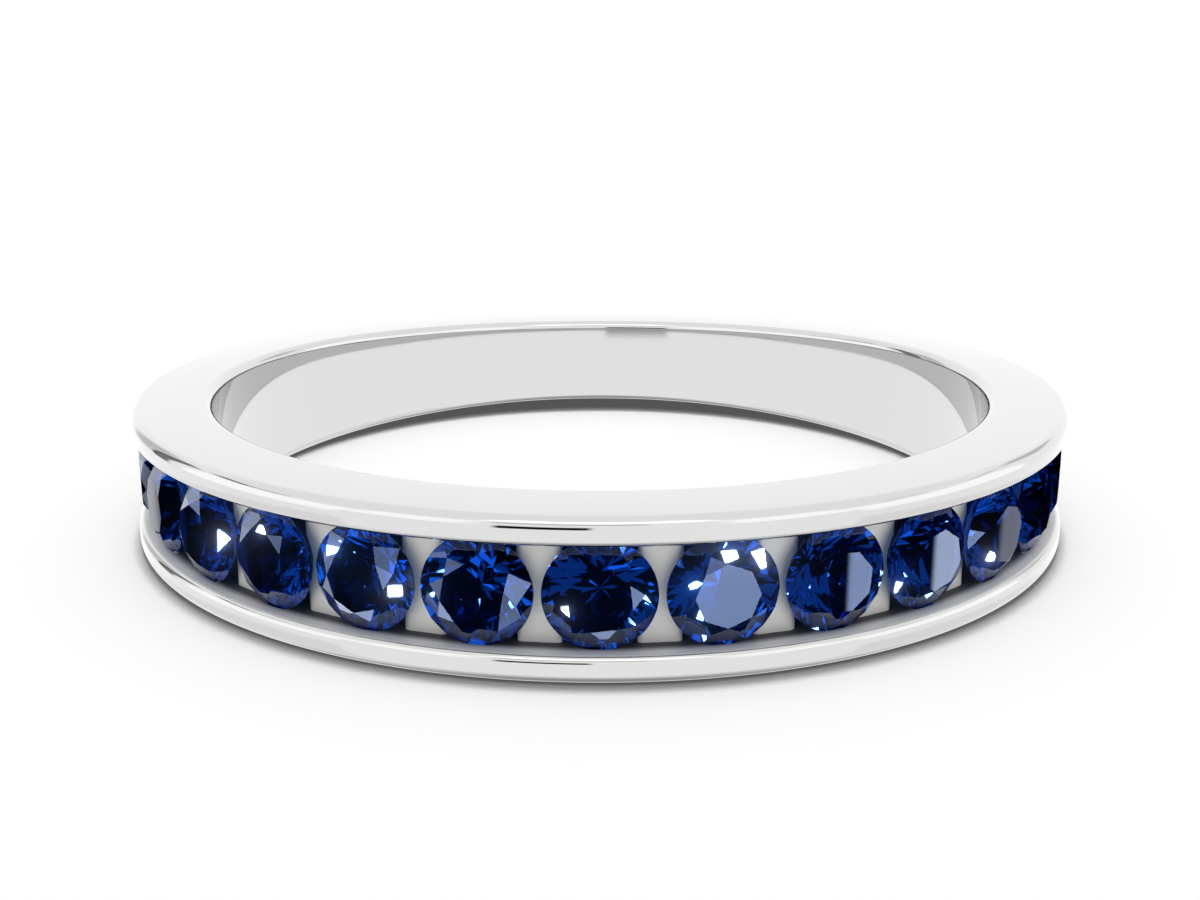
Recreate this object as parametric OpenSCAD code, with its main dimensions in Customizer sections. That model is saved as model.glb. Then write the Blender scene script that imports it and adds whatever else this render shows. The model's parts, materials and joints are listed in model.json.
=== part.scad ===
// Half eternity ring: a channel of round blue stones between two rails, on a shank that narrows to the back.
// The ring lies on its side. The origin is on the resting plane, on the axis of the finger hole.
// +Z runs along that axis, and -Y points at the middle stone.

/* [Finger hole] */
// Diameter of the finger hole
bore_d = 17.3; // [15:0.1:22]

/* [Band] */
// Width of the band at the middle of its back, along the finger
back_h = 2.32; // [1.8:0.02:2.8]
// Metal left between the stone pockets and the finger hole
skin_t = 0.33; // [0.25:0.01:0.6]
// Radius of the rounding along the outer edges
outer_fillet = 0.21; // [0.08:0.01:0.3]
// Radius of the rounding along the edges of the finger hole
inner_fillet = 0.20; // [0.08:0.01:0.3]

/* [Channel] */
// Thickness of each rail, along the finger
rail_w = 0.51; // [0.4:0.01:0.8]
// Bevel along each rail's edge towards the stones
rail_bevel = 0.07; // [0.03:0.01:0.12]
// Width of the crossbar between two stones, along the channel
bar_w = 0.58; // [0.4:0.02:0.8]
// Depth of the crossbars' tops below the rails' outer surface
bar_drop = 0.63; // [0.5:0.01:0.8]
// Depth that each stone's girdle is let into each rail
seat_bite = 0.03; // [0.02:0.01:0.06]
// Clearance between a stone and its seat
seat_gap = 0.02; // [0.01:0.01:0.04]
// Space under the tip of a stone
tip_gap = 0.065; // [0.04:0.005:0.2]

/* [Stones] */
// Number of stones
stone_count = 15; // [7:1:19]
// Diameter of a stone
stone_d = 1.96; // [1.6:0.02:2.4]
// Clearance between neighbouring stones
stone_gap = 0.114; // [0.06:0.002:0.2]
// Depth of the stones' tables below the rails' outer surface
table_drop = 0.11; // [0.05:0.01:0.2]
// Thickness of the girdle
girdle_t = 0.06; // [0.05:0.01:0.1]
// Width of the table from corner to corner, in percent of the diameter
table_share = 58; // [50:1:66]
// Slope of the crown's main facets, in degrees
crown_angle = 34.5; // [28:0.5:38]
// Slope of the pavilion's main facets, in degrees
pavilion_angle = 40.75; // [38:0.25:44]
// Length of the star facets, in percent of the crown's visible slope
star_share = 50; // [40:5:60]
// Length of the lower half facets, in percent of the way to the tip
lower_share = 77; // [70:1:85]

/* [Hidden] */

// Stone, worked out from its proportions
stone_r = stone_d / 2;
table_r = stone_r * table_share / 100;
crown_h = (stone_r - table_r) * tan(crown_angle);
pavilion_h = stone_r * tan(pavilion_angle);
girdle_top = girdle_t / 2;
girdle_bottom = -girdle_t / 2;
// Main facets on the crown and on the pavilion
mains = 8;
main_step = 360 / mains;
half_step = main_step / 2;
// Points around the girdle
girdle_points = 4 * mains;
girdle_step = 360 / girdle_points;
// Distance from the stone's axis to the lower tips of the star facets
table_edge_r = table_r * cos(half_step);
star_tip_r = table_edge_r + (stone_r - table_edge_r) * star_share / 100;
// Distance from the stone's axis to the inner tips of the lower half facets
lower_tip_r = stone_r * (1 - lower_share / 100);

// Radii of the ring, built up from the finger hole
bore_r = bore_d / 2;
pocket_r = bore_r + skin_t;
girdle_r = pocket_r + tip_gap + pavilion_h + girdle_t / 2;
outer_r = girdle_r + girdle_t / 2 + crown_h + table_drop;
bar_r = outer_r - bar_drop;

// Channel and the angles along it, counted from the middle stone
channel_w = stone_d - 2 * seat_bite;
front_h = channel_w + 2 * rail_w;
mid_z = front_h / 2;
pitch = 2 * asin((stone_d + stone_gap) / 2 / girdle_r);
channel_end = stone_count * pitch / 2;
pocket_w = 2 * bar_r * sin(pitch / 2) - bar_w;
front_azimuth = -90;

// Sections of the band's outer form and points along each rounding
stations = 72;
fillet_steps = 3;
// The outer form stands this far proud of both round walls, which then cut it to true cylinders
trim = 0.025;
// Reach of a cutter past the surface that it opens
reach = 1;

metal_color = [0.87, 0.87, 0.88];
stone_color = [0.04, 0.07, 0.45];

function two_digits(i) = str(i < 10 ? "0" : "", i);
function stone_name(i) = str("stone_", two_digits(i));
function stone_azimuth(i) = front_azimuth + (i - (stone_count + 1) / 2) * pitch;

// Share of the narrowing at an azimuth: none along the channel, all of it at the middle of the back
function away_from_front(azimuth) =
    let (turn = (azimuth - front_azimuth + 360) % 360)
    min(turn, 360 - turn);
function narrowing(azimuth) =
    let (past = max(0, away_from_front(azimuth) - channel_end) / (180 - channel_end))
    pow(sin(90 * past), 2);
function half_height(azimuth) =
    (front_h - (front_h - back_h) * narrowing(azimuth)) / 2;

// Points of a rounding about [r, z], from one angle to another
function rounding(r, z, radius, from, to) =
    [for (k = [0:fillet_steps])
        let (a = from + (to - from) * k / fillet_steps)
        [r + radius * cos(a), z + radius * sin(a)]];

// Section of the outer form at an azimuth, as [r, z] from the ring's middle plane
function band_section(azimuth) =
    let (
        h = half_height(azimuth),
        r_out = outer_r + trim - outer_fillet,
        r_in = bore_r - trim + inner_fillet,
        z_out = h - outer_fillet,
        z_in = h - inner_fillet
    )
    concat(
        rounding(r_out, -z_out, outer_fillet, -90, 0),
        rounding(r_out, z_out, outer_fillet, 0, 90),
        rounding(r_in, z_in, inner_fillet, 90, 180),
        rounding(r_in, -z_in, inner_fillet, 180, 270)
    );

// Closed loop of sections around the finger hole
module band_form() {
    sections = [for (s = [0:stations - 1])
        let (azimuth = front_azimuth + s * 360 / stations)
        [for (p = band_section(azimuth))
            [p[0] * cos(azimuth), p[0] * sin(azimuth), mid_z + p[1]]]];
    n = len(sections[0]);
    points = [for (section = sections) for (p = section) p];
    faces = [for (s = [0:stations - 1]) for (k = [0:n - 1])
        let (
            a = s * n + k,
            b = s * n + (k + 1) % n,
            c = (s + 1) % stations * n + (k + 1) % n,
            d = (s + 1) % stations * n + k
        )
        each [[a, b, c], [a, c, d]]];
    polyhedron(points = points, faces = faces, convexity = 4);
}

// Ring without its channel: true cylinders outside and in the finger hole, rounded and narrowed between
module band_blank() {
    intersection() {
        band_form();
        difference() {
            translate([0, 0, -reach])
                cylinder(r = outer_r, h = front_h + 2 * reach, $fn = 180);
            translate([0, 0, -2 * reach])
                cylinder(r = bore_r, h = front_h + 4 * reach, $fn = 180);
        }
    }
}

// Channel between the rails, down to the tops of the crossbars, with the rails' bevels
module channel_cut() {
    w = channel_w / 2;
    rotate([0, 0, front_azimuth - channel_end])
        translate([0, 0, mid_z])
        rotate_extrude(angle = 2 * channel_end, $fn = 180)
        polygon([
            [bar_r, -w],
            [outer_r - rail_bevel, -w],
            [outer_r + reach, -w - rail_bevel - reach],
            [outer_r + reach, w + rail_bevel + reach],
            [outer_r - rail_bevel, w],
            [bar_r, w]
        ]);
}

// Puts what is drawn about a stone's own axis, with its girdle at zero, in that stone's place
module at_stone(i) {
    rotate([0, 0, stone_azimuth(i)])
        translate([girdle_r, 0, mid_z])
        rotate([0, 90, 0])
        children();
}

// Deep pocket between two crossbars
module pocket_cut(i) {
    depth = girdle_r - pocket_r;
    at_stone(i)
        translate([-channel_w / 2, -pocket_w / 2, -depth])
        cube([channel_w, pocket_w, depth]);
}

// Seat that follows a stone's edge and pavilion at the seat's clearance
module seat_cut(i) {
    crown_side = seat_gap / cos(crown_angle);
    pavilion_side = seat_gap / cos(pavilion_angle);
    seat_r = stone_r + seat_gap;
    at_stone(i)
        rotate_extrude($fn = 96)
        polygon([
            [0, girdle_bottom - pavilion_h - pavilion_side],
            [seat_r, girdle_bottom - pavilion_side + seat_gap * tan(pavilion_angle)],
            [seat_r, girdle_top + crown_side - seat_gap * tan(crown_angle)],
            [0, girdle_top + stone_r * tan(crown_angle) + crown_side]
        ]);
}

// Blank with its channel and the pockets under the stones, where the crossbars are what is left
module barred_band() {
    difference() {
        difference() {
            band_blank();
            channel_cut();
        }
        for (i = [1:stone_count]) pocket_cut(i);
    }
}

module band() {
    color(metal_color)
        difference() {
            barred_band();
            for (i = [1:stone_count]) seat_cut(i);
        }
}

// Heights on a stone's facets: ring_r is the distance from the axis, off is the angle from the main facet's middle
function crown_z(ring_r, off) = girdle_top + (stone_r - ring_r * cos(off)) * tan(crown_angle);
function pavilion_z(ring_r, off) = girdle_bottom - (stone_r - ring_r * cos(off)) * tan(pavilion_angle);

// A half facet holds the main facet's girdle point, the girdle point midway to the next main facet, and its own tip.
// On the girdle between those two it reaches this much past the girdle's edge.
function half_facet_slope(tip_r, tip_rise) =
    let (chord_r = stone_r * cos(half_step / 2))
    tip_rise / (chord_r - tip_r * cos(half_step / 2));
function scallop(tip_r, tip_rise) =
    (stone_r - stone_r * cos(half_step / 2)) * half_facet_slope(tip_r, tip_rise);

function around(ring_r, angle, z) = [ring_r * cos(angle), ring_r * sin(angle), z];

// Round brilliant with its axis along +Z and the middle of its girdle at zero
module brilliant() {
    star_tip_z = crown_z(star_tip_r, half_step);
    lower_tip_z = pavilion_z(lower_tip_r, half_step);
    crown_scallop = scallop(star_tip_r, star_tip_z - girdle_top);
    pavilion_scallop = scallop(lower_tip_r, girdle_bottom - lower_tip_z);
    points = concat(
        [for (k = [0:mains - 1]) around(table_r, k * main_step, girdle_top + crown_h)],
        [for (k = [0:mains - 1]) around(star_tip_r, k * main_step + half_step, star_tip_z)],
        [for (k = [0:girdle_points - 1])
            around(stone_r, k * girdle_step, girdle_top - (k % 2) * crown_scallop)],
        [for (k = [0:girdle_points - 1])
            around(stone_r, k * girdle_step, girdle_bottom + (k % 2) * pavilion_scallop)],
        [for (k = [0:mains - 1]) around(lower_tip_r, k * main_step + half_step, lower_tip_z)],
        [[0, 0, girdle_bottom - pavilion_h]]
    );
    star = mains;
    top = star + mains;
    bottom = top + girdle_points;
    lower = bottom + girdle_points;
    tip = lower + mains;
    last = mains - 1;
    faces = concat(
        [[for (k = [last:-1:0]) k]],
        [for (k = [0:last]) [k, (k + 1) % mains, star + k]],
        [for (k = [0:last]) [k, star + k, top + 4 * k, star + (k + last) % mains]],
        [for (k = [0:last]) [star + k, top + 4 * k + 2, top + 4 * k + 1, top + 4 * k]],
        [for (k = [0:last])
            [star + k, top + 4 * ((k + 1) % mains), top + 4 * k + 3, top + 4 * k + 2]],
        [for (k = [0:girdle_points - 1])
            let (next = (k + 1) % girdle_points)
            [top + k, top + next, bottom + next, bottom + k]],
        [for (k = [0:last]) [lower + k, bottom + 4 * k, bottom + 4 * k + 1, bottom + 4 * k + 2]],
        [for (k = [0:last])
            [lower + k, bottom + 4 * k + 2, bottom + 4 * k + 3, bottom + 4 * ((k + 1) % mains)]],
        [for (k = [0:last]) [bottom + 4 * k, lower + k, tip, lower + (k + last) % mains]]
    );
    polyhedron(points = points, faces = faces, convexity = 2);
}

module stone(i) {
    color(stone_color)
        at_stone(i)
        brilliant();
}

band();
for (i = [1:stone_count]) {
    stone(i);
}
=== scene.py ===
"""Half eternity ring: the polished band, its channel of round sapphires, and a white studio."""
import json
from math import asin, cos, pi, radians, sin, tan

import bpy
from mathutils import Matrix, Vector


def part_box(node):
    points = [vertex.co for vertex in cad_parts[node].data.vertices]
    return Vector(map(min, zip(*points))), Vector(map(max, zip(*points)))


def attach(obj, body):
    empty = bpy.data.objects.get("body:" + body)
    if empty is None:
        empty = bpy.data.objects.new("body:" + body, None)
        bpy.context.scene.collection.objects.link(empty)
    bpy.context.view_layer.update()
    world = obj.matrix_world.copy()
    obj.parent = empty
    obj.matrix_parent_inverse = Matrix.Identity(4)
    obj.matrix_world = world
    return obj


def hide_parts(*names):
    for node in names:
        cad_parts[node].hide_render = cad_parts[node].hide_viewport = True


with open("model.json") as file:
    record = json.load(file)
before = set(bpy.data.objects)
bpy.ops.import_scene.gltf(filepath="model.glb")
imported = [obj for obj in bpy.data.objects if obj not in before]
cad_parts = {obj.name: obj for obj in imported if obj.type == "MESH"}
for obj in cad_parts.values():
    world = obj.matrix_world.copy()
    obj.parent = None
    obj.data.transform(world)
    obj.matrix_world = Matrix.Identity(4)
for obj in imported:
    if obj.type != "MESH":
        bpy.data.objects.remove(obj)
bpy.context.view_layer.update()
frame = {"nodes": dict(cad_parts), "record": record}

bl_info = {
    "name": "Half Eternity Ring",
    "version": (1, 0, 0),
    "blender": (4, 5, 0),
    "location": "3D View > Sidebar > Ring",
    "description": "Builds a channel-set half eternity ring with round blue stones",
    "category": "Object",
}

BAND_LOW, BAND_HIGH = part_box("band")
STONE_NODES = sorted(name for name in frame["nodes"] if name.startswith("stone_"))
MIDDLE_LOW, MIDDLE_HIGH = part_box(STONE_NODES[len(STONE_NODES) // 2])
HOLE = next(m for m in frame["record"]["mounts"] if m["name"] == "finger_hole")
BODY = "root"
SENSOR_WIDTH = 36.0


def length(name, description, default, low=0.0):
    """A size in metres, shown in the user's own unit."""
    return bpy.props.FloatProperty(
        name=name, description=description, default=default, min=low, precision=5,
        subtype="DISTANCE", unit="LENGTH")


def angle(name, description, default):
    """An angle, given here in degrees."""
    return bpy.props.FloatProperty(
        name=name, description=description, default=radians(default),
        subtype="ANGLE", unit="ROTATION")


def share(name, description, default):
    """A share of a whole, from 0 to 1."""
    return bpy.props.FloatProperty(
        name=name, description=description, default=default, min=0.0, max=1.0, subtype="FACTOR")


def amount(name, description, default):
    """A plain number, zero or more."""
    return bpy.props.FloatProperty(name=name, description=description, default=default, min=0.0)


def count(name, description, default, low):
    """A whole number of pieces or steps."""
    return bpy.props.IntProperty(name=name, description=description, default=default, min=low)


def colour(name, description, default):
    """A linear colour."""
    return bpy.props.FloatVectorProperty(
        name=name, description=description, default=default, min=0.0, max=1.0,
        size=3, subtype="COLOR")


class RingBandSizes(bpy.types.PropertyGroup):
    """Sizes of the band"""
    outer_radius: length("Outer radius", "Axis of the finger hole to the outer surface",
                         (BAND_HIGH.x - BAND_LOW.x) / 2)
    hole_radius: length("Hole radius", "Radius of the finger hole", HOLE["dims"]["r_mm"] / 1000)
    front_width: length("Front width", "Width along the finger, all along the channel",
                        BAND_HIGH.z)
    back_width: length("Back width", "Width along the finger at the middle of the back", 0.00232)
    outer_rounding: length("Outer rounding", "Radius along the outer edges", 0.00021)
    inner_rounding: length("Inner rounding", "Radius along the finger hole's edges", 0.00020)
    rail_width: length("Rail width", "Thickness of each rail beside the stones", 0.00051)
    rail_rounding: length("Rail rounding", "Radius along the rails' edges at the stones", 0.00014)
    floor_thickness: length("Floor thickness", "Metal between the pockets and the hole", 0.00033)
    bar_drop: length("Crossbar depth", "Crossbar tops below the outer surface", 0.0006)
    bar_width: length("Crossbar width", "Width of a crossbar along the channel", 0.00078)
    bar_shoulder: length("Crossbar shoulder", "Rounding of a crossbar's top along the channel",
                         0.00014)
    bar_crown: length("Crossbar crown", "Height of a crossbar's domed top", 0.00006)
    bar_end: length("Crossbar end", "Rounding of a crossbar's ends at the rails", 0.00004)
    bar_tuck: length("Crossbar tuck", "Depth of a crossbar's ends in the rails", 0.00005)
    seat_clearance: length("Seat clearance", "Clearance between a stone and its seat", 0.00002)
    cutter_reach: length("Cutter reach", "How far the channel's cutter sticks out past the band",
                         0.0005)
    cutter_skin: length("Cutter skin", "How far out of the band the rails' rounding ends",
                        0.000001)
    stations: count("Stations", "Sections around the ring", 720, 24)
    rounding_steps: count("Rounding steps", "Segments along each rounding", 14, 2)
    bar_segments: count("Crossbar segments", "Segments around a crossbar", 48, 8)
    seat_sides: count("Seat sides", "Sides of a seat", 96, 8)
    crease: angle("Crease", "Edges that turn by more than this stay sharp", 28.0)


class RingStoneSizes(bpy.types.PropertyGroup):
    """Sizes of the stones, cut as round brilliants"""
    diameter: length("Diameter", "Across the girdle", MIDDLE_HIGH.x - MIDDLE_LOW.x)
    gap: length("Gap", "Clearance between neighbouring stones", 0.000114)
    girdle: length("Girdle", "Thickness of the girdle", 0.00006)
    table: share("Table", "Table from corner to corner, as a share of the diameter", 0.58)
    crown_angle: angle("Crown angle", "Slope of the crown's main facets", 34.5)
    pavilion_angle: angle("Pavilion angle", "Slope of the pavilion's main facets", 40.75)
    star: share("Star facets", "Their length as a share of the crown's slope", 0.5)
    lower: share("Lower half facets", "Their length as a share of the way to the tip", 0.77)
    spin_step: angle("Spin step", "Each stone's turn on its own axis, beyond the one before it",
                     17.0)
    girdle_steps: count("Girdle steps", "Points on the girdle between two main facets", 12, 2)
    tip_radius: length("Tip radius", "Axis of the finger hole to the stones' tips", -MIDDLE_HIGH.y)


class RingFinish(bpy.types.PropertyGroup):
    """Colours and finish of the metal and the stones"""
    metal: colour("Metal", "White gold, rhodium bright", (0.585, 0.585, 0.582))
    polish: share("Polish roughness", "Roughness of the polished faces", 0.045)
    satin: share("Satin roughness", "Roughness inside the channel, where no wheel reaches", 0.7)
    satin_metal: colour("Satin metal", "White gold inside the channel", (0.68, 0.68, 0.66))
    # Painted shade: a dark tone, not the metal's own colour, laid deep under the stones and at the
    # rails' feet, where shade falls.
    painted_shade: colour("Pocket metal", "White gold deep under the stones, as cast",
                         (0.07, 0.07, 0.08))
    rail_metal: colour("Rail metal", "White gold on the rails' inner walls", (0.78, 0.78, 0.77))
    # Painted shade: how far the rails' inner walls are darkened at their foot, beside the crossbars
    # and stones.
    foot_shade: share("Foot shade", "How dark the rails' inner walls are at their foot", 0.97)
    polish_spread: share("Polish spread", "How much the roughness varies with the waves", 0.03)
    wear: length("Polishing marks", "Depth of the faint waves that polishing leaves", 0.0000003)
    wave_scale: amount("Wave scale", "Waves for each metre", 900.0)
    wave_detail: share("Wave detail", "Weight of the finer waves", 0.45)
    line_scale: amount("Line scale", "Fine lines for each metre", 6000.0)
    line_depth: share("Line depth", "Depth of the fine lines, as a share of the waves'", 0.1)
    stone: colour("Stone", "Tint where light enters and leaves a stone", (0.09, 0.24, 0.56))
    stone_zone: colour("Stone zones", "Tint in the paler zones of a stone", (0.12, 0.30, 0.66))
    stone_depth: colour("Stone depth", "Colour that a stone lets through best", (0.02, 0.58, 0.93))
    stone_density: amount("Stone density", "Absorption in a stone, for each metre", 1500.0)
    zone_scale: amount("Zone scale", "Colour zones for each metre of a stone", 1100.0)
    stone_index: amount("Stone index", "Refractive index of the stones", 1.77)
    stone_gloss: colour("Stone gloss", "Tint of what the facets mirror", (0.40, 0.56, 1.0))


class RingStudio(bpy.types.PropertyGroup):
    """The camera, the lights and the floor"""
    lens: amount("Lens", "Focal length on a 36 mm sensor", 42.14)
    camera_back: length("Camera distance", "Camera in front of the hole's axis", 0.031676)
    camera_height: length("Camera height", "Camera above the floor", 0.010045)
    camera_pitch: angle("Camera pitch", "Camera below the horizontal", 15.644)
    floor_size: length("Floor size", "Side of the floor", 4.0)
    floor: colour("Floor", "Pale floor", (0.86, 0.86, 0.86))
    floor_glow: amount("Floor glow", "Light that comes through the floor from below", 0.09)
    studio: amount("Studio", "Brightness of the white studio in the metal", 1.28)
    softbox: amount("Softbox", "Brightness of its brightest band", 2.0)
    side_box: amount("Side boxes", "Brightness of the bands on both sides", 1.58)
    flag_black: share("Black flag", "How much the black flag darkens the studio", 0.99)
    flag_dark: share("Dark flags", "How much the dark flags darken it", 0.8)
    flag_middle: share("Middle flags", "How much the middle flags darken it", 0.4)
    flag_light: share("Light flags", "How much the light flags darken it", 0.22)
    flag_pale: share("Pale flags", "How much the pale flags darken it", 0.13)
    flag_faint: share("Faint flag", "How much the flag all round overhead darkens it", 0.05)
    underfoot: amount("Underfoot", "Brightness that the metal sees straight below", 0.42)
    behind_shade: share("Behind shade", "How much darker the ground is behind the ring", 0.8)
    key: amount("Key light", "Strength of the small light overhead", 1.95)
    key_angle: angle("Key light's size", "How wide it looks from the floor", 7.0)
    key_tilt: angle("Key light's tilt", "How far it stands behind the ring", 4.5)
    half_key: amount("Half key", "Strength of the wider light overhead", 0.45)
    half_key_angle: angle("Half key's size", "How wide it looks from the floor", 30.0)
    fill: amount("Fill", "Strength of the widest light overhead", 0.95)
    fill_angle: angle("Fill's size", "How wide it looks from the floor", 90.0)
    glow: share("Glow", "Strength of the glow around glints", 0.35)
    glow_from: amount("Glow from", "Brightness that begins to glow", 2.5)
    glow_size: share("Glow size", "How far the glow reaches, as a share of the picture", 0.25)
    gem_dark: amount("Dark side", "Brightness of the dark studio around the stones", 0.015)
    gem_soft: amount("Soft side", "Brightness of its soft panels", 0.35)
    gem_window: amount("Windows", "Brightness of its windows", 1.6)
    gem_lamp: amount("Lamps", "Brightness of its small lamps", 1400.0)
    lamp_colour: colour("Lamp colour",
                        "Weak in blue, so that it comes out of a blue stone nearly white",
                        (0.4, 0.055, 0.02))
    gem_gloss: amount("Gloss", "Brightness of the windows that the stones' facets mirror", 5.0)
    gem_wall: amount("Gem walls", "Brightness of the far walls that they mirror", 2.4)
    gem_far_wall: amount("Gem far walls", "Brightness of the walls that they mirror at a low angle",
                         1.0)
    gem_flash: amount("Flash", "Brightness of the lamps that they mirror", 120.0)


GROUPS = {
    "ring_band": RingBandSizes,
    "ring_stones": RingStoneSizes,
    "ring_finish": RingFinish,
    "ring_studio": RingStudio,
}


def girdle_radius(stones):
    """Axis of the finger hole to the middle of the stones' girdles."""
    return stones.tip_radius + stones.diameter / 2 * tan(stones.pavilion_angle) + stones.girdle / 2


def pitch(stones):
    """Angle from one stone to the next."""
    return 2 * asin((stones.diameter + stones.gap) / 2 / girdle_radius(stones))


class Wire:
    """A socket's value in a tree of nodes. Arithmetic on wires adds Math nodes."""

    def __init__(self, tree, socket):
        self.tree = tree
        self.socket = socket

    def out(self, name):
        """Another output of the same node."""
        return Wire(self.tree, self.socket.node.outputs[name])

    def math(self, operation, *values):
        return self.tree.add("ShaderNodeMath", {"operation": operation},
                             dict(enumerate(values)))

    def __add__(self, other):
        return self.math("ADD", self, other)

    def __sub__(self, other):
        return self.math("SUBTRACT", self, other)

    def __rsub__(self, other):
        return self.math("SUBTRACT", other, self)

    def __mul__(self, other):
        return self.math("MULTIPLY", self, other)

    def __truediv__(self, other):
        return self.math("DIVIDE", self, other)

    def __rtruediv__(self, other):
        return self.math("DIVIDE", other, self)

    def __neg__(self):
        return self.math("MULTIPLY", self, -1)

    __radd__ = __add__
    __rmul__ = __mul__


class Tree:
    """A tree of nodes, to which add() adds one node at a time."""

    def __init__(self, nodes):
        self.nodes = nodes

    def add(self, kind, settings=None, inputs=None):
        """Adds a node with its settings and inputs, values or wires. Returns its first output."""
        node = self.nodes.nodes.new(kind)
        for name, value in (settings or {}).items():
            setattr(node, name, value)
        for name, value in (inputs or {}).items():
            for one in value if isinstance(value, list) else [value]:
                if isinstance(one, Wire):
                    self.nodes.links.new(one.socket, node.inputs[name])
                else:
                    node.inputs[name].default_value = one
        return Wire(self, next((s for s in node.outputs if s.enabled), None))

    def vector(self, x, y, z):
        return self.add("ShaderNodeCombineXYZ", inputs={"X": x, "Y": y, "Z": z})

    def ramp(self, value, start, end):
        """0 up to start, 1 from end on, smooth between them. The start may be above the end."""
        return self.add("ShaderNodeMapRange", {"interpolation_type": "SMOOTHSTEP"}, {
            "Value": value, "From Min": start, "From Max": end})

    def window(self, value, low, high, soft):
        """1 between low and high and 0 outside, with soft ends."""
        return (self.ramp(value, low - soft / 2, low + soft / 2)
                * self.ramp(value, high + soft / 2, high - soft / 2))

    def mix(self, amount, first, second):
        """A colour between two colours."""
        node = self.add("ShaderNodeMix", {"data_type": "RGBA"},
                        {"Factor": amount, 6: first, 7: second})
        return Wire(self, node.socket.node.outputs[2])

    def split(self, vector):
        """The three parts of a vector."""
        x = self.add("ShaderNodeSeparateXYZ", inputs={"Vector": vector})
        return x, x.out("Y"), x.out("Z")


class SkyTree(Tree):
    """A world's tree. Azimuth runs from the camera to the right, height up from the horizon."""

    def __init__(self, nodes):
        super().__init__(nodes)
        x, y, z = self.split(self.add("ShaderNodeTexCoord").out("Generated"))
        self.azimuth = x.math("ARCTAN2", x, -y)
        self.height = x.math("ARCSINE", z)

    def panels(self, level, places):
        """Light from soft panels, each given in degrees: its ends across, its ends up, its edge."""
        light = 0.0
        for across, up, soft in places:
            wide, tall = [
                self.window(value, radians(ends[0]), radians(ends[1]), radians(soft))
                for value, ends in ((self.azimuth, across), (self.height, up))]
            light = light + wide * tall * level
        return light


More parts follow.
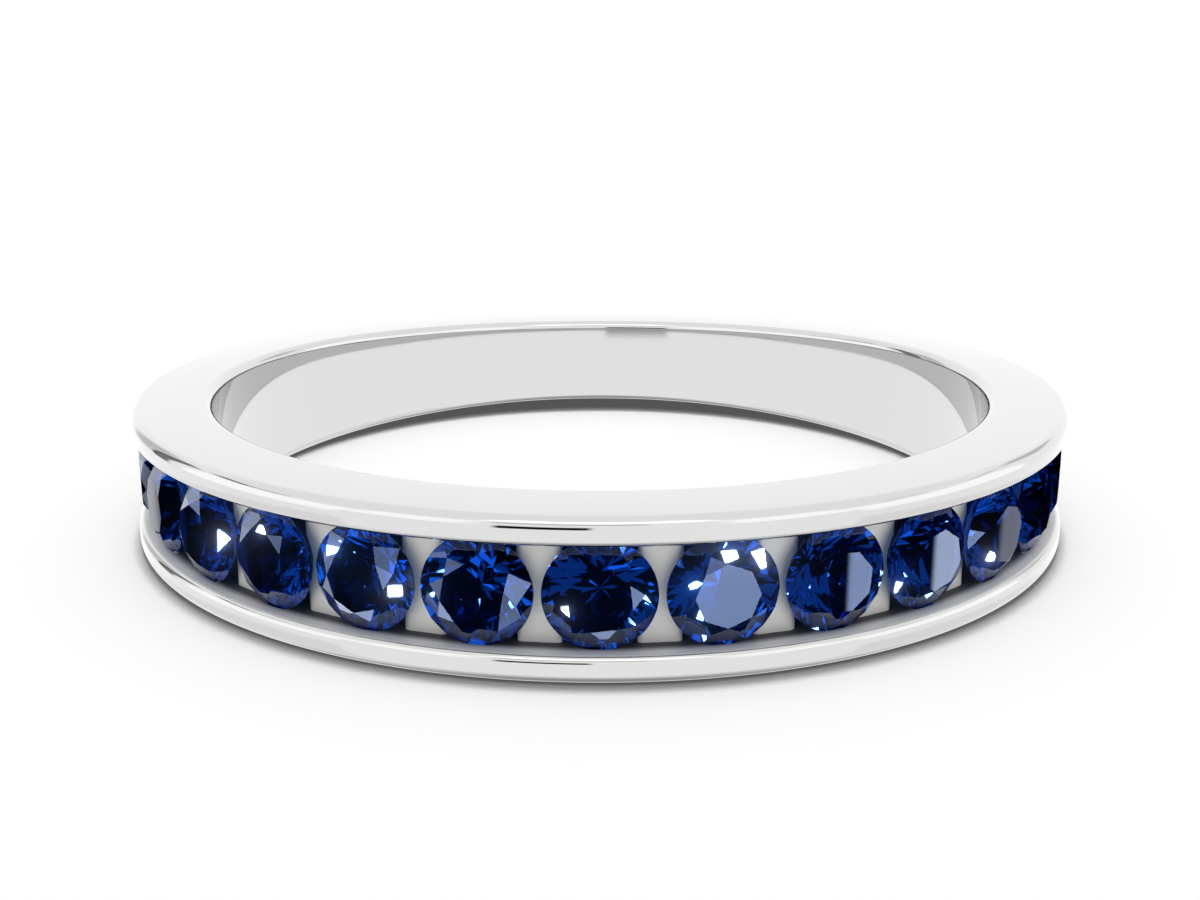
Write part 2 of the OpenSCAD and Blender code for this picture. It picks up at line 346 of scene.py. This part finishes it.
class ShapeTree(Tree):
    """A tree of Geometry Nodes with named inputs, which ends in one geometry."""

    def __init__(self, name, sizes):
        super().__init__(bpy.data.node_groups.new(name, "GeometryNodeTree"))
        self.sockets = {}
        self.nodes.interface.new_socket(
            "Geometry", in_out="OUTPUT", socket_type="NodeSocketGeometry")
        self.new_input("Geometry", "NodeSocketGeometry")
        for label, value in sizes.items():
            kind = "NodeSocketInt" if isinstance(value, int) else "NodeSocketFloat"
            self.new_input(label, kind)
        self.new_input("Material", "NodeSocketMaterial")
        self.entry = self.nodes.nodes.new("NodeGroupInput")

    def new_input(self, label, kind):
        socket = self.nodes.interface.new_socket(label, in_out="INPUT", socket_type=kind)
        self.sockets[label] = socket.identifier

    def given(self, label):
        """The value of a named input."""
        return Wire(self, self.entry.outputs[label])

    def close(self, geometry):
        """Ends the tree: realizes instances and sets the material."""
        real = self.add("GeometryNodeRealizeInstances", inputs={"Geometry": geometry})
        painted = self.add("GeometryNodeSetMaterial",
                           inputs={"Geometry": real, "Material": self.given("Material")})
        exit_node = self.nodes.nodes.new("NodeGroupOutput")
        self.nodes.links.new(painted.socket, exit_node.inputs["Geometry"])

    def outline(self, corners, roundings, steps):
        """A closed outline through corners in the XY plane, each with its own rounding."""
        index = self.add("GeometryNodeInputIndex")
        places = self.add("GeometryNodeIndexSwitch", {"data_type": "VECTOR"})
        radii = self.add("GeometryNodeIndexSwitch", {"data_type": "FLOAT"})
        for switch in (places, radii):
            items = switch.socket.node.index_switch_items
            while len(items) < len(corners):
                items.new()
            self.nodes.links.new(index.socket, switch.socket.node.inputs["Index"])
        for k, (x, y) in enumerate(corners):
            self.nodes.links.new(self.vector(x, y, 0.0).socket, places.socket.node.inputs[k + 1])
            if isinstance(roundings[k], Wire):
                self.nodes.links.new(roundings[k].socket, radii.socket.node.inputs[k + 1])
        points = self.add("GeometryNodePoints", inputs={"Count": len(corners), "Position": places})
        line = self.add("GeometryNodePointsToCurves", inputs={"Points": points})
        loop = self.add("GeometryNodeSetSplineCyclic", inputs={"Geometry": line, "Cyclic": True})
        return self.add("GeometryNodeFilletCurve", {"mode": "POLY"},
                        {"Curve": loop, "Count": steps, "Radius": radii})

    def around(self, number, radius, first, step, height, shape, tilt):
        """Copies of a shape on an arc about +Z, from the first angle on, turned with the arc."""
        turn = first + self.add("GeometryNodeInputIndex") * step
        place = self.vector(radius * turn.math("COSINE", turn),
                            radius * turn.math("SINE", turn), height)
        points = self.add("GeometryNodePoints", inputs={"Count": number, "Position": place})
        copies = self.add("GeometryNodeInstanceOnPoints", inputs={
            "Points": points, "Instance": shape, "Rotation": self.vector(0.0, tilt, turn)})
        return self.add("GeometryNodeRealizeInstances", inputs={"Geometry": copies})

    def cut(self, body, cutter):
        """Body less the cutter."""
        return self.add("GeometryNodeMeshBoolean",
                        {"operation": "DIFFERENCE", "solver": "MANIFOLD"},
                        {"Mesh 1": body, "Mesh 2": cutter})

    def double_cone(self, radius, half_edge, upper_slope, lower_slope, sides):
        """A short cylinder with a cone on each end, as the room that a stone takes."""
        def disc(height):
            circle = self.add("GeometryNodeMeshCircle", {"fill_type": "NONE"},
                              {"Vertices": sides, "Radius": radius})
            return self.add("GeometryNodeTransform", inputs={
                "Geometry": circle, "Translation": self.vector(0.0, 0.0, height)})

        def tip(height):
            return self.add("GeometryNodePoints", inputs={
                "Count": 1, "Position": self.vector(0.0, 0.0, height)})

        top = half_edge + radius * upper_slope.math("TANGENT", upper_slope)
        bottom = -half_edge - radius * lower_slope.math("TANGENT", lower_slope)
        points = self.add("GeometryNodeJoinGeometry", inputs={
            "Geometry": [disc(half_edge), disc(-half_edge), tip(top), tip(bottom)]})
        return self.add("GeometryNodeConvexHull", inputs={"Geometry": points})

    def soften(self, body, crease):
        """Shades a body smooth, apart from edges sharper than the crease angle."""
        smooth = self.add("GeometryNodeSetShadeSmooth", {"domain": "FACE"},
                          {"Geometry": body, "Shade Smooth": True})
        bend = self.add("GeometryNodeInputMeshEdgeAngle")
        return self.add("GeometryNodeSetShadeSmooth", {"domain": "EDGE"}, {
            "Geometry": smooth, "Selection": bend.math("GREATER_THAN", bend, crease),
            "Shade Smooth": False})


def run_tree(name, mesh, tree, sizes, material, rounded=False):
    """Runs a tree on a mesh into a plain object. A rounded one is shaded by its large faces."""
    source = bpy.data.objects.new(name + "_source", mesh)
    bpy.context.scene.collection.objects.link(source)
    modifier = source.modifiers.new("Shape", "NODES")
    modifier.node_group = tree.nodes
    for label, value in sizes.items():
        modifier[tree.sockets[label]] = value
    modifier[tree.sockets["Material"]] = material
    if rounded:
        weights = source.modifiers.new("Weighted normals", "WEIGHTED_NORMAL")
        weights.keep_sharp = True
        weights.weight = 100
    graph = bpy.context.evaluated_depsgraph_get()
    result = bpy.data.meshes.new_from_object(
        source.evaluated_get(graph), preserve_all_data_layers=True, depsgraph=graph)
    bpy.data.objects.remove(source)
    result.name = name
    piece = bpy.data.objects.new(name, result)
    bpy.context.scene.collection.objects.link(piece)
    return piece


def channel_band_tree(sizes):
    """The band: a section swept around the hole, narrowed behind, less its channel and seats."""
    tree = ShapeTree("Channel band", sizes)
    given = tree.given
    outer, hole = given("Outer radius"), given("Hole radius")
    middle = given("Front width") * 0.5
    half_channel = given("Channel width") * 0.5
    half_turn = given("Channel half angle")
    steps = given("Rounding steps")
    path_radius = (outer + hole) * 0.5
    half_wall = (outer - hole) * 0.5

    section = tree.outline(
        [(half_wall, middle), (half_wall, -middle), (-half_wall, -middle), (-half_wall, middle)],
        [given("Outer rounding"), given("Outer rounding"),
         given("Inner rounding"), given("Inner rounding")], steps)
    path = tree.add("GeometryNodeCurvePrimitiveCircle", {"mode": "RADIUS"},
                    {"Resolution": given("Stations"), "Radius": path_radius})
    form = tree.add("GeometryNodeCurveToMesh", inputs={"Curve": path, "Profile Curve": section})

    x, y, z = tree.split(tree.add("GeometryNodeInputPosition"))
    away = x.math("ABSOLUTE", x.math("ARCTAN2", x, -y))
    past = x.math("MAXIMUM", (away - half_turn) / (pi - half_turn), 0.0)
    bend = x.math("SINE", past * (pi / 2))
    inset = bend * bend * (given("Front width") - given("Back width")) * 0.5
    shift = tree.vector(0.0, 0.0, middle - x.math("SIGN", z) * inset)
    blank = tree.add("GeometryNodeSetPosition", inputs={"Geometry": form, "Offset": shift})

    reach = given("Reach")
    low = given("Floor radius")
    slot_radius = (low + outer) * 0.5
    half_depth = (outer - low) * 0.5 + given("Skin")
    slot = tree.outline(
        [(-half_depth, -half_channel), (half_depth, -half_channel),
         (half_depth, -half_channel - reach), (half_depth + reach, -half_channel - reach),
         (half_depth + reach, half_channel + reach), (half_depth, half_channel + reach),
         (half_depth, half_channel), (-half_depth, half_channel)],
        [0, given("Rail rounding"), 0, 0, 0, 0, given("Rail rounding"), 0], steps)
    arc = tree.add("GeometryNodeCurveArc", {"mode": "RADIUS"}, {
        "Resolution": given("Stations") * 0.5, "Radius": slot_radius,
        "Start Angle": -pi / 2 - half_turn, "Sweep Angle": half_turn * 2})
    channel = tree.add("GeometryNodeCurveToMesh", inputs={
        "Curve": arc, "Profile Curve": slot, "Fill Caps": True})
    channel = tree.add("GeometryNodeTransform", inputs={
        "Geometry": channel, "Translation": tree.vector(0.0, 0.0, middle)})

    segments = given("Crossbar segments")
    ball = tree.add("GeometryNodeMeshUVSphere", inputs={
        "Segments": segments, "Rings": segments * 0.5, "Radius": 1.0})
    on_ball = tree.split(tree.add("GeometryNodeInputPosition"))
    nearly_zero = 0.001
    bar_height = (outer - given("Crossbar depth") - low) * 0.5 + reach * 0.5
    rounding = (given("Crossbar crown"), given("Crossbar shoulder"), given("Crossbar end"))
    half = (bar_height, given("Crossbar width") * 0.5, half_channel + given("Crossbar tuck"))
    block = tree.vector(*[
        axis * soft + axis.math("SIGN", axis.math("SNAP", axis, nearly_zero)) * (size - soft)
        for axis, soft, size in zip(on_ball, rounding, half)])
    bar = tree.add("GeometryNodeSetPosition", inputs={"Geometry": ball, "Position": block})
    stones = given("Stone count")
    step = given("Pitch")
    bars = tree.around(stones + 1, outer - given("Crossbar depth") - bar_height,
                       -pi / 2 - half_turn, step, middle, bar, 0.0)
    cavity = tree.cut(channel, bars)

    seat_radius = given("Stone radius") + given("Seat clearance")
    seat = tree.double_cone(seat_radius, given("Girdle") * 0.5 + given("Seat clearance") * 0.5,
                            given("Crown angle"), given("Pavilion angle"), given("Seat sides"))
    seats = tree.around(stones, given("Girdle radius"), -pi / 2 - half_turn + step * 0.5, step,
                        middle, seat, pi / 2)
    band = tree.cut(tree.cut(blank, cavity), seats)

    tree.close(tree.soften(band, given("Crease")))
    return tree


def make_band(material):
    band, stones = bpy.context.scene.ring_band, bpy.context.scene.ring_stones
    number = len(STONE_NODES)
    sizes = {
        "Outer radius": band.outer_radius,
        "Hole radius": band.hole_radius,
        "Front width": band.front_width,
        "Back width": band.back_width,
        "Outer rounding": band.outer_rounding,
        "Inner rounding": band.inner_rounding,
        "Rail rounding": band.rail_rounding,
        "Channel width": band.front_width - 2 * band.rail_width,
        "Channel half angle": number * pitch(stones) / 2,
        "Floor radius": band.hole_radius + band.floor_thickness,
        "Crossbar depth": band.bar_drop,
        "Crossbar width": band.bar_width,
        "Crossbar shoulder": band.bar_shoulder,
        "Crossbar crown": band.bar_crown,
        "Crossbar end": band.bar_end,
        "Crossbar tuck": band.bar_tuck,
        "Pitch": pitch(stones),
        "Stone count": number,
        "Stone radius": stones.diameter / 2,
        "Girdle radius": girdle_radius(stones),
        "Girdle": stones.girdle,
        "Crown angle": stones.crown_angle,
        "Pavilion angle": stones.pavilion_angle,
        "Seat clearance": band.seat_clearance,
        "Stations": band.stations,
        "Rounding steps": band.rounding_steps,
        "Crossbar segments": band.bar_segments,
        "Seat sides": band.seat_sides,
        "Reach": band.cutter_reach,
        "Skin": band.cutter_skin,
        "Crease": band.crease,
    }
    tree = channel_band_tree(sizes)
    return run_tree("band_metal", bpy.data.meshes.new("band_seed"), tree, sizes, material,
                    rounded=True)


def brilliant_mesh(stones):
    """A round brilliant with its axis along +Z and the middle of its girdle at zero."""
    mains = 8
    half_step = pi / mains
    r = stones.diameter / 2
    rise, drop = tan(stones.crown_angle), tan(stones.pavilion_angle)
    top, bottom = stones.girdle / 2, -stones.girdle / 2
    table_r = r * stones.table
    inner_r = table_r * cos(half_step)
    star_r = inner_r + (r - inner_r) * stones.star
    star_z = top + (r - star_r * cos(half_step)) * rise
    lower_r = r * (1 - stones.lower)
    lower_z = bottom - (r - lower_r * cos(half_step)) * drop
    steps = 2 * stones.girdle_steps

    def ring(number, radius, first, height):
        turns = [first + 2 * pi * k / number for k in range(number)]
        return [Vector((radius * cos(t), radius * sin(t), height)) for t in turns]

    def scallop(tip_r, tip_rise, k):
        """How far a half facet reaches past the girdle's edge at step k of the girdle."""
        quarter = half_step / 2
        slope = tip_rise / (r - tip_r) / cos(quarter)
        off = (k % stones.girdle_steps) / stones.girdle_steps * half_step - quarter
        return slope * r * (cos(off) - cos(quarter))

    number = mains * steps
    upper = ring(number, r, 0, top)
    under = ring(number, r, 0, bottom)
    for k in range(number):
        upper[k].z -= scallop(star_r, star_z - top, k)
        under[k].z += scallop(lower_r, bottom - lower_z, k)
    points = ring(mains, table_r, 0, top + (r - table_r) * rise)
    points += ring(mains, star_r, half_step, star_z) + upper + under
    points += ring(mains, lower_r, half_step, lower_z) + [Vector((0, 0, bottom - r * drop))]

    star, high = mains, 2 * mains
    low = high + number
    lower = low + number
    tip = lower + mains
    faces = [list(range(mains))]
    for k in range(mains):
        after, before = (k + 1) % mains, (k - 1) % mains
        first, half, last = k * steps, k * steps + steps // 2, (k + 1) * steps
        faces.append([k, star + k, after])
        faces.append([k, star + before, high + first, star + k])
        faces.append([star + k] + [high + i for i in range(first, half + 1)])
        faces.append([star + k] + [high + i % number for i in range(half, last + 1)])
        faces.append([lower + k] + [low + i for i in range(half, first - 1, -1)])
        faces.append([lower + k] + [low + i % number for i in range(last, half - 1, -1)])
        faces.append([low + first, lower + before, tip, lower + k])
    for k in range(number):
        after = (k + 1) % number
        faces.append([high + after, high + k, low + k, low + after])
    mesh = bpy.data.meshes.new("round_brilliant")
    mesh.from_pydata(points, [], faces)
    mesh.validate()
    return mesh


def stone_row_tree(sizes):
    """One stone of the row: spun on its own axis and set at its place along the channel."""
    tree = ShapeTree("Stone in its seat", sizes)
    given = tree.given
    spun = tree.add("GeometryNodeTransform", inputs={
        "Geometry": given("Geometry"), "Rotation": tree.vector(0.0, 0.0, given("Spin"))})
    turn = given("First angle") + given("Place") * given("Pitch")
    radius = given("Girdle radius")
    place = tree.vector(radius * turn.math("COSINE", turn), radius * turn.math("SINE", turn),
                        given("Middle height"))
    point = tree.add("GeometryNodePoints", inputs={"Count": 1, "Position": place})
    seated = tree.add("GeometryNodeInstanceOnPoints", inputs={
        "Points": point, "Instance": spun, "Rotation": tree.vector(0.0, pi / 2, turn)})
    tree.close(seated)
    return tree


def make_stones(material):
    band, stones = bpy.context.scene.ring_band, bpy.context.scene.ring_stones
    step = pitch(stones)
    number = len(STONE_NODES)
    sizes = {
        "Place": 0,
        "Pitch": step,
        "First angle": -pi / 2 - (number - 1) / 2 * step,
        "Girdle radius": girdle_radius(stones),
        "Middle height": band.front_width / 2,
        "Spin": 0.0,
    }
    tree = stone_row_tree(sizes)
    mesh = brilliant_mesh(stones)
    pieces = []
    for place, node in enumerate(STONE_NODES):
        name = node.replace("stone", "sapphire")
        sizes["Place"] = place
        sizes["Spin"] = place * stones.spin_step
        piece = run_tree(name, mesh, tree, sizes, material)
        pieces.append((piece, node))
    return pieces


def new_material(name):
    """An empty material and its tree."""
    material = bpy.data.materials.new(name)
    material.use_nodes = True
    material.node_tree.nodes.clear()
    return material, Tree(material.node_tree)


def white_gold():
    """Polished white metal, satin in the channel, with painted shade at the rails' feet and in the
    pockets.
    """
    finish, band = bpy.context.scene.ring_finish, bpy.context.scene.ring_band
    material, tree = new_material("white_gold")
    place = tree.add("ShaderNodeTexCoord").out("Object")
    x, y, z = tree.split(place)
    radius = x.math("SQRT", x * x + y * y)
    bar_top = band.outer_radius - band.bar_drop
    rail_top = band.outer_radius - band.rail_rounding
    middle, half_channel = band.front_width / 2, band.front_width / 2 - band.rail_width
    soft = 0.00002

    def fade(base, start, end):
        """0 at the start and 1 at the end, both in soft edges outwards from a base radius."""
        return tree.ramp(radius, base + start * soft, base + end * soft)

    inside = tree.window(z, middle - half_channel - soft, middle + half_channel + soft, soft / 2)
    satin = fade(rail_top, 4, 2) * fade(band.hole_radius, 4, 8) * inside
    # Painted shade deep in the pockets, below the crossbars' tops.
    pocket_shade = satin * fade(bar_top, -3, -10)
    wall = satin * (1.0 - tree.window(z, middle - half_channel + soft / 4,
                                      middle + half_channel - soft / 4, soft / 4))
    # Painted shade on the rails' inner walls, darkest at their foot near the crossbars' tops.
    foot = wall * fade(bar_top, 19, 6)

    waves = tree.add("ShaderNodeTexNoise", {"noise_dimensions": "3D"}, {
        "Vector": place, "Scale": finish.wave_scale, "Detail": 2.0,
        "Roughness": finish.wave_detail})
    along, across = 0.5, 6.0
    lines = tree.add("ShaderNodeTexNoise", {"noise_dimensions": "3D"}, {
        "Vector": tree.vector(x * along, y * along, z * across),
        "Scale": finish.line_scale, "Detail": 3.0})
    rough = (finish.polish + (waves - 0.5) * finish.polish_spread
             + satin * (finish.satin - finish.polish))
    tone = tree.mix(satin, (*finish.metal, 1.0), (*finish.satin_metal, 1.0))
    tone = tree.mix(wall, tone, (*finish.rail_metal, 1.0))
    # Paint the shade: the dark tone in the pockets, and most of it at the rails' feet.
    tone = tree.mix(pocket_shade, tone, (*finish.painted_shade, 1.0))
    tone = tree.mix(foot * finish.foot_shade, tone, (*finish.painted_shade, 1.0))
    bump = tree.add("ShaderNodeBump", inputs={
        "Height": waves * finish.wear + lines * (finish.wear * finish.line_depth),
        "Strength": 1.0, "Distance": 1.0})
    shader = tree.add("ShaderNodeBsdfPrincipled", inputs={
        "Base Color": tone, "Metallic": 1.0, "Roughness": rough, "Normal": bump})
    tree.add("ShaderNodeOutputMaterial", inputs={"Surface": shader})
    return material


def sapphire():
    """Clear blue stone: light is tinted at the facets and absorbed on its way."""
    finish = bpy.context.scene.ring_finish
    material, tree = new_material("sapphire")
    place = tree.add("ShaderNodeTexCoord").out("Object")
    zones = tree.add("ShaderNodeTexNoise", {"noise_dimensions": "3D"}, {
        "Vector": place, "Scale": finish.zone_scale, "Detail": 2.0})
    tint = tree.mix(zones, (*finish.stone, 1.0), (*finish.stone_zone, 1.0))
    shader = tree.add("ShaderNodeBsdfPrincipled", inputs={
        "Base Color": tint, "Roughness": 0.0, "IOR": finish.stone_index,
        "Specular Tint": (*finish.stone_gloss, 1.0),
        "Transmission Weight": 1.0})
    depth = tree.add("ShaderNodeVolumeAbsorption", inputs={
        "Color": (*finish.stone_depth, 1.0), "Density": finish.stone_density})
    tree.add("ShaderNodeOutputMaterial", inputs={"Surface": shader, "Volume": depth})
    return material


def metal_sky(tree):
    """What the metal sees: a white studio with brighter boxes, dark flags and a dark ground."""
    studio = bpy.context.scene.ring_studio
    aside = tree.azimuth.math("ABSOLUTE", tree.azimuth)
    ground = tree.ramp(tree.height, radians(-85), radians(-38))
    behind = (tree.ramp(aside, radians(95), radians(125))
              * tree.ramp(tree.height, radians(-42), radians(-60)))
    ground = ground * (1.0 - behind * studio.behind_shade)
    sky = studio.underfoot + ground * (studio.studio - studio.underfoot)
    sky = sky + tree.panels(studio.softbox - studio.studio, (
        ((-34, 34), (46, 66), 7.0),
    )) + tree.panels(studio.side_box - studio.studio, (
        ((-60, -30), (10, 44), 9.0),
        ((30, 60), (10, 44), 9.0),
        ((-109, -60), (-7, 28), 4.0),
        ((60, 112), (-7, 28), 4.0),
    ))
    flags = tree.panels(studio.flag_black, (
        ((-23, -2), (-8, 13), 2.5),
    )) + tree.panels(studio.flag_dark, (
        ((-124.5, -115.5), (-7, 28), 3.0),
        ((-115.5, -98), (30, 35), 2.0),
    )) + tree.panels(studio.flag_middle, (
        ((-27, 12), (33, 42), 3.0),
        ((-139, -124.5), (-4, 26), 8.0),
        ((-98, -84), (31, 36), 3.0),
        ((126, 142), (17, 31), 4.0),
    )) + tree.panels(studio.flag_light, (
        ((108, 127), (31, 35), 2.5),
        ((76, 92), (34, 38), 2.5),
    )) + tree.panels(studio.flag_pale, (
        ((-200, -62), (-45, -20), 3.0),
        ((62, 200), (-45, -20), 3.0),
    )) + tree.panels(studio.flag_faint, (
        ((-200, 200), (38, 100), 6.0),
    ))
    return sky * (1.0 - flags)


def stone_sky(tree):
    """What shines through the stones: a dark studio with soft panels, windows and small lamps."""
    studio = bpy.context.scene.ring_studio
    softs = tree.panels(studio.gem_soft, (
        ((-95, -28), (-40, 35), 2.0),
        ((10, 55), (5, 60), 2.0),
        ((70, 130), (-30, 30), 2.0),
    ))
    windows = tree.panels(studio.gem_window, (
        ((22, 40), (-35, -8), 1.5),
        ((-60, -44), (10, 30), 1.5),
        ((50, 62), (-20, 0), 1.5),
        ((-14, 2), (40, 55), 1.5),
        ((95, 110), (-25, 5), 1.5),
        ((-120, -100), (-25, 15), 1.5),
    ))
    lamps = tree.panels(studio.gem_lamp, (
        ((-72, -68), (22, 26), 0.5),
        ((30, 34), (30, 34), 0.5),
        ((62, 66), (12, 16), 0.5),
        ((-6, -2), (24, 28), 0.5),
        ((-32, -29), (-4, -1), 0.5),
        ((14, 17), (2, 5), 0.5),
    ))
    plain = studio.gem_dark + softs + windows
    return tree.vector(*[plain + lamps * part for part in studio.lamp_colour])


def facet_sky(tree):
    """What the stones' facets mirror: windows and small lamps in the dark."""
    studio = bpy.context.scene.ring_studio
    windows = tree.panels(studio.gem_gloss, (
        ((26, 44), (-25, -5), 1.5),
        ((58.7, 68), (-26, -14), 0.3),
        ((86.2, 96), (-25, -15), 0.3),
        ((-20, -13), (-11, -6), 0.5),
        ((-77, -73), (-42, -38), 0.5),
        ((-68, -62), (-57, -52), 0.5),
        ((-106, -97), (-46, -41), 0.5),
        ((5, 12), (-67, -62), 0.5),
    ))
    walls = tree.panels(studio.gem_wall, (
        ((-130, -93), (-11, 28), 1.5),
        ((-106, -97), (-28.4, -25), 0.3),
        ((-133, -127), (-31, -27), 0.5),
        ((-73, -69), (-18, -12), 0.5),
        ((-56, -51), (4, 12), 0.5),
        ((-3.5, 4), (18, 30), 0.5),
        ((8, 15), (15, 21), 0.5),
        ((11, 17), (-32, -28), 0.5),
        ((41.2, 45), (-62, -50), 0.5),
    )) + tree.panels(studio.gem_far_wall, (
        ((-200, -130), (-11, 28), 1.5),
        ((-159, -138.3), (-20, -11), 0.5),
        ((-122, -112), (-38, -29.4), 0.3),
        ((112.8, 119), (-24, -12), 0.3),
    ))
    lamps = tree.panels(studio.gem_flash, (
        ((-42.4, -41.7), (-13.2, -12.3), 0.15),
        ((-84.3, -83.9), (9.4, 9.9), 0.15),
        ((11.7, 12.3), (-27.0, -26.6), 0.15),
        ((-106.8, -106.4), (21.2, 21.6), 0.15),
        ((-44.2, -43.8), (-26.8, -26.3), 0.15),
        ((34.1, 34.9), (45.7, 46.3), 0.15),
        ((80.5, 81.3), (15.4, 16.2), 0.15),
        ((73.0, 76.0), (-73.9, -73.4), 0.15),
        ((12.0, 12.5), (-51.1, -50.7), 0.15),
        ((82.9, 83.3), (-32.7, -32.3), 0.15),
    ))
    return windows + walls + lamps


def make_floor():
    """A pale floor. The metal and the stones mirror the studio in its place."""
    studio = bpy.context.scene.ring_studio
    half = studio.floor_size / 2
    mesh = bpy.data.meshes.new("floor")
    mesh.from_pydata([(-half, -half, 0), (half, -half, 0), (half, half, 0), (-half, half, 0)],
                     [], [(0, 1, 2, 3)])
    floor = bpy.data.objects.new("floor", mesh)
    floor.visible_glossy = False
    floor.visible_transmission = False
    bpy.context.scene.collection.objects.link(floor)
    paint, tree = new_material("floor_paint")
    matt = tree.add("ShaderNodeBsdfDiffuse", inputs={"Color": (*studio.floor, 1.0)})
    lit = tree.add("ShaderNodeEmission", inputs={"Strength": studio.floor_glow})
    both = tree.add("ShaderNodeAddShader", inputs={0: matt, 1: lit})
    tree.add("ShaderNodeOutputMaterial", inputs={"Surface": both})
    mesh.materials.append(paint)


def make_lights():
    """Three lights overhead for the floor, and the studio around the ring."""
    studio, scene = bpy.context.scene.ring_studio, bpy.context.scene
    for name, strength, size in (("key", studio.key, studio.key_angle),
                                 ("half_key", studio.half_key, studio.half_key_angle),
                                 ("fill", studio.fill, studio.fill_angle)):
        sun = bpy.data.lights.new(name, "SUN")
        sun.energy = strength
        sun.angle = size
        light = bpy.data.objects.new(name, sun)
        light.rotation_euler = (-studio.key_tilt, 0.0, 0.0)
        light.visible_glossy = False
        light.visible_transmission = False
        scene.collection.objects.link(light)

    world = bpy.data.worlds.new("studio")
    scene.world = world
    world.use_nodes = True
    world.node_tree.nodes.clear()
    world.cycles_visibility.diffuse = False
    tree = SkyTree(world.node_tree)
    in_metal, on_facets, in_stones = [
        tree.add("ShaderNodeBackground", inputs={"Color": make_sky(tree)})
        for make_sky in (metal_sky, facet_sky, stone_sky)]
    path = tree.add("ShaderNodeLightPath")
    around_stones = tree.add("ShaderNodeMixShader", inputs={
        0: path.out("Is Transmission Ray"), 1: on_facets, 2: in_stones})
    around_all = tree.add("ShaderNodeMixShader", inputs={
        0: path.out("Is Singular Ray"), 1: in_metal, 2: around_stones})
    tree.add("ShaderNodeOutputWorld", inputs={"Surface": around_all})


def make_glow():
    """A faint glow around the brightest glints on the stones."""
    studio, scene = bpy.context.scene.ring_studio, bpy.context.scene
    scene.use_nodes = True
    scene.node_tree.nodes.clear()
    tree = Tree(scene.node_tree)
    picture = tree.add("CompositorNodeRLayers")
    glow = tree.add("CompositorNodeGlare", {"glare_type": "BLOOM", "quality": "HIGH"}, {
        "Image": picture, "Threshold": studio.glow_from, "Strength": studio.glow,
        "Size": studio.glow_size})
    tree.add("CompositorNodeComposite", inputs={"Image": glow})


def make_camera():
    """The photo's view, and how far light is followed through the stones."""
    studio, scene = bpy.context.scene.ring_studio, bpy.context.scene
    lens = bpy.data.cameras.new("camera")
    lens.lens = studio.lens
    lens.sensor_width = SENSOR_WIDTH
    lens.clip_start = 0.001
    lens.clip_end = 20.0
    camera = bpy.data.objects.new("camera", lens)
    camera.location = (0.0, -studio.camera_back, studio.camera_height)
    camera.rotation_euler = (pi / 2 - studio.camera_pitch, 0.0, 0.0)
    scene.collection.objects.link(camera)
    scene.camera = camera
    scene.view_settings.view_transform = "Standard"
    make_glow()
    scene.cycles.caustics_reflective = False
    scene.cycles.caustics_refractive = False
    scene.cycles.max_bounces = 20
    scene.cycles.glossy_bounces = 14
    scene.cycles.transmission_bounces = 14


class RING_OT_band(bpy.types.Operator):
    """Build the band and its material"""
    bl_idname = "ring.band"
    bl_label = "Band"

    def execute(self, context):
        piece = make_band(white_gold())
        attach(piece, BODY)
        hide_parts("band")
        return {"FINISHED"}


class RING_OT_stones(bpy.types.Operator):
    """Cut the stones and set them in the channel"""
    bl_idname = "ring.stones"
    bl_label = "Stones"

    def execute(self, context):
        for piece, node in make_stones(sapphire()):
            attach(piece, BODY)
            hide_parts(node)
        return {"FINISHED"}


class RING_OT_stage(bpy.types.Operator):
    """Set up the floor, the lights and the camera"""
    bl_idname = "ring.stage"
    bl_label = "Stage"

    def execute(self, context):
        make_floor()
        make_lights()
        make_camera()
        return {"FINISHED"}


class RING_PT_panel(bpy.types.Panel):
    """Sizes, finish and the build buttons"""
    bl_idname = "RING_PT_panel"
    bl_label = "Half Eternity Ring"
    bl_space_type = "VIEW_3D"
    bl_region_type = "UI"
    bl_category = "Ring"

    def draw(self, context):
        for operator in OPERATORS:
            self.layout.operator(operator.bl_idname)
        for name, group in GROUPS.items():
            box = self.layout.box()
            box.label(text=group.__doc__)
            for field in group.__annotations__:
                box.prop(getattr(context.scene, name), field)


OPERATORS = (RING_OT_band, RING_OT_stones, RING_OT_stage)
CLASSES = (*GROUPS.values(), *OPERATORS, RING_PT_panel)


def register():
    for cls in CLASSES:
        bpy.utils.register_class(cls)
    for name, group in GROUPS.items():
        setattr(bpy.types.Scene, name, bpy.props.PointerProperty(type=group))


def unregister():
    for name in GROUPS:
        delattr(bpy.types.Scene, name)
    for cls in reversed(CLASSES):
        bpy.utils.unregister_class(cls)


def main():
    register()
    bpy.ops.ring.band()
    bpy.ops.ring.stones()
    bpy.ops.ring.stage()


if __name__ == "__main__":
    main()
